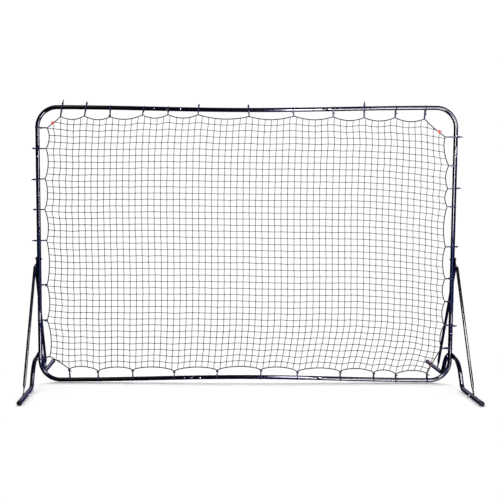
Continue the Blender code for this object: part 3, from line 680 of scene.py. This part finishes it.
def cap_profile():
    """A foot cap: rounded end, three grooves and an open mouth round the tube."""
    rib = [(0, 0.0070), (0.0002, 0.0110), (0.0010, 0.0138), (0.0024, 0.0149),
           (0.0042, CAP_RADIUS)]
    for groove in CAP_GROOVES:
        rib += [(groove - GROOVE_SIZE, CAP_RADIUS), (groove, CAP_RADIUS - 0.0005),
                (groove + GROOVE_SIZE, CAP_RADIUS)]
    bore = TUBE_RADIUS + 0.0001
    return rib + [(CAP_LENGTH - GROOVE_SIZE, CAP_RADIUS), (CAP_LENGTH, CAP_RADIUS - 0.0005),
                  (CAP_LENGTH, bore), (CAP_LENGTH - 0.004, bore)]


def build_leg(side, facing):
    sign, facing_sign = SIDES[side], FACINGS[facing]
    body = f"leg_{facing}_{side}"
    distances, places, headings = leg_path()
    roundness, fullness = pressed(distances - TAB_END, TAB_END, TAB_FLAT_LENGTH, TAB_BLEND)
    strut("leg", side, facing, LEG_BOLT_Z, places, headings,
          mix(LEG_TAB_X[facing], LEG_PLANE, roundness), TUBE_RADIUS, TAB_HALF_THICKNESS,
          TAB_HALF_WIDTH * fullness, roundness)
    end = (sign * (UPRIGHT_X + LEG_PLANE), facing_sign * LEG_REACH, FOOT_Z)
    cap = f"foot_cap_{facing}_{side}"
    piece(cap + "_moulded", "cap_plastic",
          [turned_rings(end, (0, -facing_sign, 0), cap_profile())], cap, body)
    seat = (sign * (UPRIGHT_X + LEG_PLANE - TUBE_RADIUS - GAP), facing_sign * BRACE_FOOT_REACH,
            FOOT_Z)
    inward = (-sign, 0, 0)
    shank = [(-2 * TUBE_RADIUS - GAP, FOOT_BOLT_RADIUS)]
    shank += thread(0, NUT_HEIGHT_SHARE * FOOT_BOLT_HEX + SHANK_PAST_NUT, FOOT_BOLT_RADIUS)
    nut = f"foot_nut_{facing}_{side}"
    rings = [nut_rings(seat, inward, FOOT_BOLT_HEX, FOOT_BOLT_RADIUS),
             turned_rings(seat, inward, shank)]
    piece(nut + "_hex", "zinc", rings, nut, body, HEX_SMOOTH)


def build_brace(side, facing):
    sign, facing_sign = SIDES[side], FACINGS[facing]
    run = np.array([BRACE_FOOT_REACH, FOOT_Z - BRACE_BOLT_Z])
    total = float(np.linalg.norm(run))
    tip = FLAT_END * np.array([0, 0.03, 0.1, 0.22, 0.4, 0.65, 1.0]) - FLAT_END
    near = np.concatenate([tip, np.linspace(0, FLAT_LENGTH, 4)[1:],
                           np.linspace(FLAT_LENGTH, FLAT_LENGTH + FLAT_BLEND, 13)[1:]])
    lengths = np.concatenate([near, np.linspace(near[-1], total - near[-1], 12)[1:-1],
                              total - near[::-1]])
    roundness, fullness = pressed(np.minimum(lengths, total - lengths), FLAT_END, FLAT_LENGTH,
                                  FLAT_BLEND)
    tube_start = BRACE_FLAT_X[facing] + (BRACE_RADIUS - FLAT_HALF_THICKNESS)
    tube_x = mix(tube_start, BRACE_FOOT_X, np.clip(lengths / total, 0, 1))
    flat_x = np.where(lengths < total / 2, BRACE_FLAT_X[facing], BRACE_FOOT_X)
    strut("brace", side, facing, BRACE_BOLT_Z, np.outer(lengths / total, run),
          np.full(len(lengths), atan2(run[1], run[0])), mix(flat_x, tube_x, roundness),
          BRACE_RADIUS, FLAT_HALF_THICKNESS, FLAT_HALF_WIDTH * fullness, roundness)
    head = (sign * (UPRIGHT_X + FOOT_HEAD_X), facing_sign * BRACE_FOOT_REACH, FOOT_Z)
    bolt(f"foot_bolt_{facing}_{side}", f"brace_{facing}_{side}", head, (-sign, 0, 0),
         FOOT_BOLT_HEX, FOOT_BOLT_RADIUS, 2 * FLAT_HALF_THICKNESS + GAP)


# --- the border cord ---

def tube_centre(side, place):
    """The frame tube's centre beside a tie, as (x, z), and the way in from it."""
    if side in LEVELS:
        return np.array([place, float(rail_z(side, place))]), np.array([0.0, -LEVELS[side]])
    return np.array([SIDES[side] * UPRIGHT_X, place]), np.array([-SIDES[side], 0.0])


def border_side(side, steps=BORDER_STEPS):
    """The border cord's line along one side, with steps from each tie to the next."""
    ties = TIES[side]
    places = []
    for here, there in zip(ties, ties[1:]):
        for step in range(steps):
            share = step / steps
            belly = SAG[side] * sin(pi * share) ** CUSP[side]
            centre, inward = tube_centre(side, mix(here[0], there[0], share))
            places.append(centre + inward * (mix(here[1], there[1], share) + belly))
    centre, inward = tube_centre(side, ties[-1][0])
    places.append(centre + inward * ties[-1][1])
    return places


def corner_place(level, side, share):
    """A place on the border's run across a corner, the run's heading and the net's pull."""
    rail_run, upright_run = border_side(level, 1), border_side(side, 1)
    start = rail_run[0] if side == "left" else rail_run[-1]
    run = (upright_run[0] if level == "bottom" else upright_run[-1]) - start
    pull = unit((-SIDES[side], -LEVELS[level]))
    return start + run * share + pull * CORNER_BOW * sin(pi * share), unit(run), pull


def border_line():
    """The whole border anticlockwise from the bottom left, as (x, z) places."""
    def corner(level, side):
        return [corner_place(level, side, step / BORDER_STEPS)[0]
                for step in range(1, BORDER_STEPS)]

    line = border_side("bottom") + corner("bottom", "right")
    line += border_side("right") + corner("top", "right")[::-1]
    line += border_side("top")[::-1] + corner("top", "left")
    line += border_side("left")[::-1] + corner("bottom", "left")[::-1]
    return np.array(line)


BORDER = border_line()


def build_border():
    """A three-strand cord, laid up as one twisted body."""
    around = np.concatenate([BORDER, BORDER[:1]])
    lengths = np.concatenate([[0], np.cumsum(np.linalg.norm(np.diff(around, axis=0), axis=1))])
    wanted = np.linspace(0, lengths[-1], int(round(lengths[-1] / ROPE_STEP)) + 1)[:-1]
    line = np.stack([np.interp(wanted, lengths, around[:, k]) for k in range(2)], 1)
    for _ in range(3):
        line = (np.roll(line, 1, 0) + 2 * line + np.roll(line, -1, 0)) / 4
    along = beside(unit(np.roll(line, -1, 0) - np.roll(line, 1, 0)))
    sides = 12
    turns = round(len(line) * ROPE_STEP / ROPE_LAY)
    twist = 2 * pi * turns * np.arange(len(line)) / len(line)
    angle = 2 * pi * np.arange(sides) / sides
    radius = ROPE_RADIUS * (0.90 + 0.10 * np.cos(3 * (angle[None, :] - twist[:, None])))
    rings = (in_space(line)[:, None, :] + (radius * np.cos(angle))[..., None] * Y_AXIS
             + (radius * np.sin(angle))[..., None] * along[:, None, :])
    piece("border_cord", "border_cord", [rings], "border_lashing", smooth=60.0, loops=1)


# --- the net's lines ---

def tie_wave(side, along):
    """1 where a tie of this side pulls, -1 half way between two, for places along the side."""
    places = np.array([tie[0] for tie in TIES[side]])
    index = np.clip(np.searchsorted(places, along) - 1, 0, len(places) - 2)
    share = (along - places[index]) / (places[index + 1] - places[index])
    return np.cos(2 * pi * np.clip(share, 0, 1))


def rise(value, start, width):
    """0 up to start and 1 from a width past it; a negative width goes the other way."""
    return smooth_step((value - start) / width)


def past(value, start, width):
    """How many widths value is past start."""
    return np.clip((value - start) / width, 0, None)


def bell(value, middle, width):
    return np.exp(-((value - middle) / width) ** 2)


def net_base():
    """Where the knots lie before the border's scallops pull on them, as x and z arrays.

    A lean shears the columns, a drift or slide shifts them, a drop, lift or slack shifts rows.
    """
    column = np.arange(NET_COLUMNS + 1)[:, None] * np.ones(NET_ROWS + 1)
    row = np.ones(NET_COLUMNS + 1)[:, None] * np.arange(NET_ROWS + 1)
    x = NET_LEFT + MESH_WIDTH * column
    z = NET_TOP - MESH_HEIGHT * row
    top_lean = 0.016 * past(z, 1.50, 0.24) ** 1.5 * np.clip((61 - column) / 8, 0, 1)
    swing = 0.0035 * np.cos(2 * pi * (z - 0.60) / 1.15)
    bottom_lean = (0.015 - 0.065 * column / 58) * past(z, 0.47, -0.34) ** 2
    drift = 0.0095 * rise(x, -0.40, 0.90) * np.clip((1.72 - z) / 0.15, 0, 1)
    slide = 0.0112 * rise(x, 0.0, 0.80) * np.clip((1.70 - z) / 0.10, 0, 1)
    slide += 0.0050 * bell(x, -0.20, 0.30) * rise(z, 0.60, 0.40)
    x = x + top_lean + swing + bottom_lean + drift + slide * rise(z, 0.18, 0.25)
    drop = 0.052 * past(x, 0.70, 0.56) ** 1.6 * (1 - 0.35 * np.exp(-past(row, 1, 3)))
    left_rise = 0.014 * past(x, -1.10, -0.18) ** 2 * row / NET_ROWS
    lift = 0.0120 * bell(x, -0.75, 0.55) * rise(z, 0.50, 0.50)
    lift += 0.0060 * bell(x, -0.95, 0.30) * rise(z, 1.40, 0.20)
    slack = 0.0128 * bell(x, 0.10, 0.35) * rise(z, 0.95, -0.50)
    slack += 0.0088 * rise(x, -0.05, 0.40) * rise(z, 1.20, -0.50)
    slack += 0.0160 * rise(x, 1.05, 0.20) * rise(z, 0.60, -0.45)
    z = z - drop - 0.0065 * x + left_rise + lift - slack
    pulled_z = z - 0.0040 * tie_wave("bottom", x) * np.exp(-(z - 0.10) / 0.30)
    pulled_z += 0.0020 * tie_wave("top", x) * np.exp(-(1.75 - z) / 0.22)
    pulled_x = x - 0.0030 * tie_wave("left", z) * np.exp(-(x + 1.30) / 0.20)
    pulled_x += 0.0030 * tie_wave("right", z) * np.exp(-(1.30 - x) / 0.20)
    return pulled_x, pulled_z


def edge_shift(side, along, across):
    """From an edge of the net to the border, falling to 0 past the side's end ties."""
    line = np.array(border_side(side))
    if side in SIDES:
        line = line[:, ::-1]
    beyond = np.maximum(TIES[side][0][0] - along, along - TIES[side][-1][0])
    return ((np.interp(along, line[:, 0], line[:, 1]) - across)
            * np.clip(1 - beyond / EDGE_FADE, 0.0, 1.0))


def relax(edge_first, edge_last, shape):
    """Spreads shifts set on two opposite edges over the net, sideways weaker than along."""
    field = np.zeros(shape)
    for _ in range(RELAX_ROUNDS):
        field[:, 0], field[:, -1] = edge_first, edge_last
        padded = np.pad(field, ((1, 1), (0, 0)), mode="edge")
        sideways = SIDEWAYS_PULL * (padded[:-2] + padded[2:])
        inner = field[:, :-2] + field[:, 2:] + sideways[:, 1:-1]
        field[:, 1:-1] = inner / (2 + 2 * SIDEWAYS_PULL)
    return field


def net_places(draw):
    """The net's knots as (x, z), after its edges are drawn onto the border cord."""
    x, z = net_base()
    top, bottom = (edge_shift(level, x[:, end], z[:, end])
                   for level, end in (("top", 0), ("bottom", -1)))
    left, right = (edge_shift(side, z[end], x[end]) for side, end in (("left", 0), ("right", -1)))
    z = z + relax(top, bottom, x.shape)
    x = x + relax(left, right, x.shape[::-1]).T
    return np.stack([x, z], -1) + draw.normal(0, KNOT_STRAY, (2,) + x.shape).transpose(1, 2, 0)


def inside(places, outline):
    """True for each (x, z) place inside the outline."""
    x, z = places[:, 0][:, None], places[:, 1][:, None]
    x1, z1 = outline[:, 0], outline[:, 1]
    x2, z2 = np.roll(x1, -1), np.roll(z1, -1)
    spans = (z1 > z) != (z2 > z)
    slope = (x2 - x1) / np.where(np.abs(z2 - z1) < 1e-12, 1e-12, z2 - z1)
    return (spans & (x < x1 + (z - z1) * slope)).sum(1) % 2 == 1


def meet(inner, outer, outline):
    """Where the run from inner to outer crosses the outline, with the outline's heading."""
    run = outer - inner
    edge = np.roll(outline, -1, 0) - outline
    cross = run[0] * edge[:, 1] - run[1] * edge[:, 0]
    cross = np.where(np.abs(cross) < 1e-15, 1e-15, cross)
    gap = outline - inner
    share = (gap[:, 0] * edge[:, 1] - gap[:, 1] * edge[:, 0]) / cross
    place = (gap[:, 0] * run[1] - gap[:, 1] * run[0]) / cross
    hits = np.where((share >= 0) & (share <= 1) & (place >= 0) & (place <= 1))[0]
    best = hits[np.argmin(share[hits])]
    return inner + run * share[best], unit(edge[best])


def clipped(places):
    """The stretch of a net line inside the border, and where its ends meet the cord."""
    within = inside(places, BORDER)
    within[0] = within[-1] = False
    first, last = np.flatnonzero(within)[[0, -1]]
    kept = list(places[first:last + 1])
    ends = []
    for inner, outer in ((first, first - 1), (last, last + 1)):
        beyond = places[outer] + (places[outer] - places[inner]) * 0.6
        hit = meet(places[inner], beyond, BORDER)
        ends.append(hit)
        if np.linalg.norm(hit[0] - places[inner]) > 0.004:
            kept.insert(0 if outer < inner else len(kept), hit[0])
    return np.array(kept), ends


def twine_rings(places, offset):
    """A thin twine through places, with a point between each two knots."""
    wave = 0.0009 * np.sin(3.1 * places[:, 0] + 1.3) * np.sin(4.3 * places[:, 1])
    knots = in_space(places, wave + offset)
    fine = np.empty((2 * len(places) - 1, 3))
    fine[0::2] = knots
    fine[1::2] = (knots[:-1] + knots[1:]) / 2
    run = unit(np.gradient(fine, axis=0))
    return tube_rings(fine, Y_AXIS, unit(np.cross(run, Y_AXIS)), TWINE_RADIUS, sides=6)


def knot_rings(centre, radii, turn):
    """A small rounded knot, as rings from one end to the other."""
    axis = np.array([cos(turn), 0, sin(turn)])
    across = np.array([-sin(turn), 0, cos(turn)])
    heights = np.array([-1.0, -0.62, 0.10, 0.70, 1.0])
    swell = np.array([0.34, 0.88, 1.0, 0.80, 0.30])
    centres = centre + np.outer(heights * radii[0], axis)
    return tube_rings(centres, across, Y_AXIS, swell * radii[1], swell * radii[2], sides=8)


def hitch_rings(place, heading):
    """A hitch of the net's twine round the border cord."""
    steps = np.array([-1.0, -0.55, 0.0, 0.55, 1.0]) * 0.0026
    swell = np.array([0.0020, 0.0030, 0.0032, 0.0030, 0.0020])
    return tube_rings(in_space(place + np.outer(steps, heading)), Y_AXIS, beside(heading), swell,
                      sides=10)


def build_net():
    draw = np.random.default_rng(11)
    places = net_places(draw)
    draw.normal(size=places.shape[:2])      # spare draws, which come before the knots' own
    meetings = []
    for name, lines, offset, node in (
            ("net_columns", places[1:-1], TWINE_OFFSET, "net_panel"),
            ("net_rows", places[:, 1:-1].transpose(1, 0, 2), -TWINE_OFFSET, None)):
        found = [clipped(line) for line in lines]
        meetings += [meeting for _, ends in found for meeting in ends]
        piece(name, "net_twine", [twine_rings(line, offset) for line, _ in found], node)
    knots = places[1:-1, 1:-1].reshape(-1, 2)
    sizes = draw.uniform(0.88, 1.12, (len(knots), 3)) * KNOT_RADIUS * (1, 0.9, 0.8)
    turns = draw.uniform(0.5, 1.1, len(knots))
    within = inside(knots, BORDER)
    piece("net_knots", "net_twine",
          [knot_rings(centre, size, turn) for centre, size, turn
           in zip(in_space(knots)[within], sizes[within], turns[within])], smooth=80.0)
    piece("net_hitches", "net_twine", [hitch_rings(*meeting) for meeting in meetings],
          smooth=80.0)


# --- cable ties ---

def tie_outline(reach, apex):
    """A tie's loop from the cord round the tube, as (inward, depth, the normal's angle)."""
    tube = TUBE_RADIUS + GAP + TIE_THICKNESS / 2
    cord = ROPE_RADIUS + GAP + TIE_THICKNESS / 2
    first = acos((tube - cord) / reach)
    arcs = [(reach, cord, 0.0, first, 4)]
    if apex:
        height = tube + APEX_REACH
        second = acos((APEX_RADIUS - tube) / height)
        arcs += [(0.0, tube, first, second, 12), (-height, APEX_RADIUS, second, pi, 3)]
    else:
        arcs += [(0.0, tube, first, pi, 16)]
    stops = np.array([(centre + radius * cos(angle), radius * sin(angle), angle)
                      for centre, radius, start, end, steps in arcs
                      for angle in np.linspace(start, end, steps + 1)])
    return np.concatenate([stops, stops[-2:0:-1] * (1, -1, -1)])


def build_tie(name, side, place, reach, lean, head, tail):
    """A band round cord and tube, its head and the cut tail that stands out of it."""
    centre, inward = tube_centre(side, place)
    origin, inward = in_space(centre), in_space(inward)
    width = np.cross(inward, Y_AXIS)
    slant = lean if width @ (X_AXIS if side in LEVELS else Z_AXIS) > 0 else -lean

    def at(place_in, depth, off=0.0):
        shear = slant * (1 - place_in / reach)
        return origin + inward * place_in + Y_AXIS * depth + width * (off + shear)

    half, thick, soft = TIE_HALF_WIDTH, TIE_THICKNESS / 2, 0.0003
    section = [(thick, half - soft), (thick - soft, half), (soft - thick, half),
               (-thick, half - soft)]
    section += [(x, -y) for x, y in reversed(section)]
    band = [[at(along + cos(angle) * lift, depth + sin(angle) * lift, off)
             for lift, off in section]
            for along, depth, angle in tie_outline(reach, head == "out")]
    heading = unit(inward * reach - width * slant)
    flat = unit(np.cross(heading, Y_AXIS))
    share, offset, depth, tail_start, tail_way = HEADS[head]
    spot = at(share * reach + offset, depth)
    halves, bevel = (CORD_HEAD_HALVES, 0.0010) if head == "cord" else (HEAD_HALVES, 0.0008)
    away = unit(tail_way @ np.array([heading, Y_AXIS, flat]))
    bend = unit(np.cross(away, flat))
    shares = np.linspace(0, 1, 6)
    centres = (spot + away * tail_start + np.outer(shares * (HEAD_HALVES[0] + tail), away)
               + np.outer(shares ** 2 * tail * 0.25, bend))
    tail_rings = tube_rings(centres, flat, bend, TIE_HALF_WIDTH * 0.92, thick, 0.4, 12)
    piece(name, "nylon", [band, block_rings(spot, (heading, flat, Y_AXIS), halves, bevel),
                          tail_rings], smooth=40.0, loops=1)


def build_ties():
    for side, ties in TIES.items():
        for number, tie in enumerate(ties, 1):
            build_tie(f"cable_tie_{side}_{number:02d}", side, *tie)


# --- corner markers ---

def build_markers():
    """Red tape wound round the border cord, at the top with its two ends folded out."""
    for (level, side), share in MARKER_SHARES.items():
        middle, run, pull = corner_place(level, side, share)
        axis = in_space(run)
        shares = np.linspace(-0.5, 0.5, 15)
        wraps = ROPE_RADIUS + 0.0005 + 0.0005 * np.abs((shares * 6) % 1.0 - 0.5) * 2
        wraps[0] = wraps[-1] = ROPE_RADIUS - 0.0004
        centre = in_space(middle)
        lofts = [tube_rings(centre + np.outer(shares * MARKER_LENGTH[level], axis), Y_AXIS,
                            beside(run), wraps, sides=20)]
        for slant, reach in MARKER_FLAGS[level]:
            out = unit(in_space(-pull) * 0.75 + axis * slant - Y_AXIS * 0.25)
            across = unit(np.cross(out, Y_AXIS))
            steps = np.linspace(0.1, 1.0, 6)
            curl = np.outer(steps ** 2 * reach * 0.3, -Y_AXIS)
            lofts.append(tube_rings(centre + np.outer(steps * reach, out) + curl, across,
                                    unit(np.cross(across, out)), 0.0050, 0.0005, 0.4, 12))
        piece(f"marker_tape_{level}_{side}", MARKER_TAPES[level], lofts,
              f"corner_marker_{level}_{side}", smooth=40.0)


# --- studio ---

def build_camera():
    data = bpy.data.cameras.new("camera")
    data.sensor_width = SENSOR
    data.lens = FOCAL / IMAGE_SIZE * SENSOR
    data.shift_x = CAMERA_SHIFT
    data.clip_end = 60.0
    camera = new_object("camera", data)
    turn = Euler((pi / 2 - CAMERA_PITCH, 0, -CAMERA_YAW)).to_matrix()
    turn = turn @ Matrix.Rotation(CAMERA_ROLL, 3, "Z")
    camera.matrix_world = Matrix.Translation(CAMERA_PLACE) @ turn.to_4x4()
    bpy.context.scene.camera = camera


def card(name, place, facing, width, height, colour, power, gloss_only=True):
    """A soft area light of width by height that faces a direction."""
    data = bpy.data.lights.new(name, "AREA")
    data.shape = "RECTANGLE"
    data.size, data.size_y = width, height
    data.energy = power
    data.color = colour
    light = new_object(name, data)
    turn = Vector(facing).to_track_quat("-Z", "Y").to_matrix().to_4x4()
    light.matrix_world = Matrix.Translation(place) @ turn
    light.visible_glossy = gloss_only
    light.visible_diffuse = light.visible_camera = not gloss_only


def build_cards():
    card("back_strip", (0.0, 20.0, 14.0), (0.0, -20.0, -13.9), 60.0, 16.0, WHITE,
         BACK_STRIP_POWER, gloss_only=False)
    for name, place, wide, tall, colour, radiance in STRIPS:
        card(name, place, Y_AXIS, wide, tall, colour, radiance * pi * wide * tall)
    for name, start, end, low_edge, high_edge, colour, radiance in REFLECTIONS:
        azimuth, elevation = radians((start + end) / 2), radians((low_edge + high_edge) / 2)
        away = np.array([sin(azimuth) * cos(elevation), -cos(azimuth) * cos(elevation),
                         sin(elevation)])
        wide = 2 * REFLECTION_DISTANCE * tan(radians(end - start) / 2) * cos(elevation)
        tall = 2 * REFLECTION_DISTANCE * tan(radians(high_edge - low_edge) / 2)
        card(name, REFLECTION_MIDDLE + away * REFLECTION_DISTANCE, -away, wide, tall, colour,
             radiance * pi * wide * tall)


def build_world():
    """White behind the frame, even fill, and for the gloss a room that is navy on the right."""
    world = bpy.data.worlds.new("studio")
    bpy.context.scene.world = world
    world.use_nodes = True
    world.node_tree.nodes.clear()
    sky = Nodes(world.node_tree)

    def background(colour, strength):
        inputs = {"Color": (*colour, 1), "Strength": strength}
        return sky.node("Background", inputs).outputs[0]

    rays = sky.node("LightPath").outputs
    place = sky.node("TexCoord").outputs["Generated"]
    split = sky.node("SeparateXYZ", {"Vector": place}).outputs
    room = sky.either(sky.spread(split["X"], -0.15, 0.8), background((0.20, 0.20, 0.30), 0.03),
                      background((0.12, 0.15, 0.80), 0.52))
    behind_and_above = sky.product(sky.spread(split["Y"], 0.35, 0.75),
                                   sky.spread(split["Z"], 0.14, 0.27))
    around = sky.either(behind_and_above, room, background((0.80, 0.76, 1.0), 0.9))
    unseen = sky.either(rays["Is Glossy Ray"], background(WHITE, FILL_WHITE), around)
    shown = sky.either(rays["Is Camera Ray"], unseen, background(WHITE, PAPER_WHITE))
    sky.node("OutputWorld", {"Surface": shown})


def build_floor():
    """A pale floor near the frame, which fades into plain white round it."""
    made = Material("pale_floor")
    tone = made.ramp(made.noise(0.8, 2.0), (0.3, (0.90, 0.90, 0.90)), (0.7, (0.94, 0.94, 0.94)))
    made.set(Base_Color=tone, Roughness=0.9, Specular_IOR_Level=0.1)
    squeeze = {0: made.coordinates, 1: (0.22, 1.0, 1.0), 2: (0.0, 0.28, 0.0)}
    squeezed = made.node("VectorMath", squeeze, operation="MULTIPLY_ADD").outputs[0]
    away = made.node("VectorMath", {0: squeezed}, operation="LENGTH").outputs["Value"]
    glow = made.node("Emission", {"Strength": PAPER_WHITE}).outputs[0]
    shown = made.either(made.spread(away, 0.42, 0.64, kind="SMOOTHSTEP"), made.shader.outputs[0],
                        glow)
    made.feed(made.tree.nodes["Material Output"].inputs["Surface"], shown)
    mesh = bpy.data.meshes.new("floor")
    corners = [(x * FLOOR_REACH, y * FLOOR_REACH, 0) for x, y in
               ((-1, -1), (1, -1), (1, 1), (-1, 1))]
    mesh.from_pydata(corners, [], [(0, 1, 2, 3)])
    mesh.materials.append(made.material)
    floor = new_object("floor", mesh)
    floor.visible_glossy = False


def build_studio():
    bpy.context.scene.view_settings.view_transform = "Standard"
    build_camera()
    build_world()
    build_floor()
    build_cards()


build_frame()
build_screws()
build_bolts()
for leg_side in SIDES:
    for leg_facing in FACINGS:
        build_leg(leg_side, leg_facing)
        build_brace(leg_side, leg_facing)
build_border()
build_net()
build_ties()
build_markers()
build_studio()
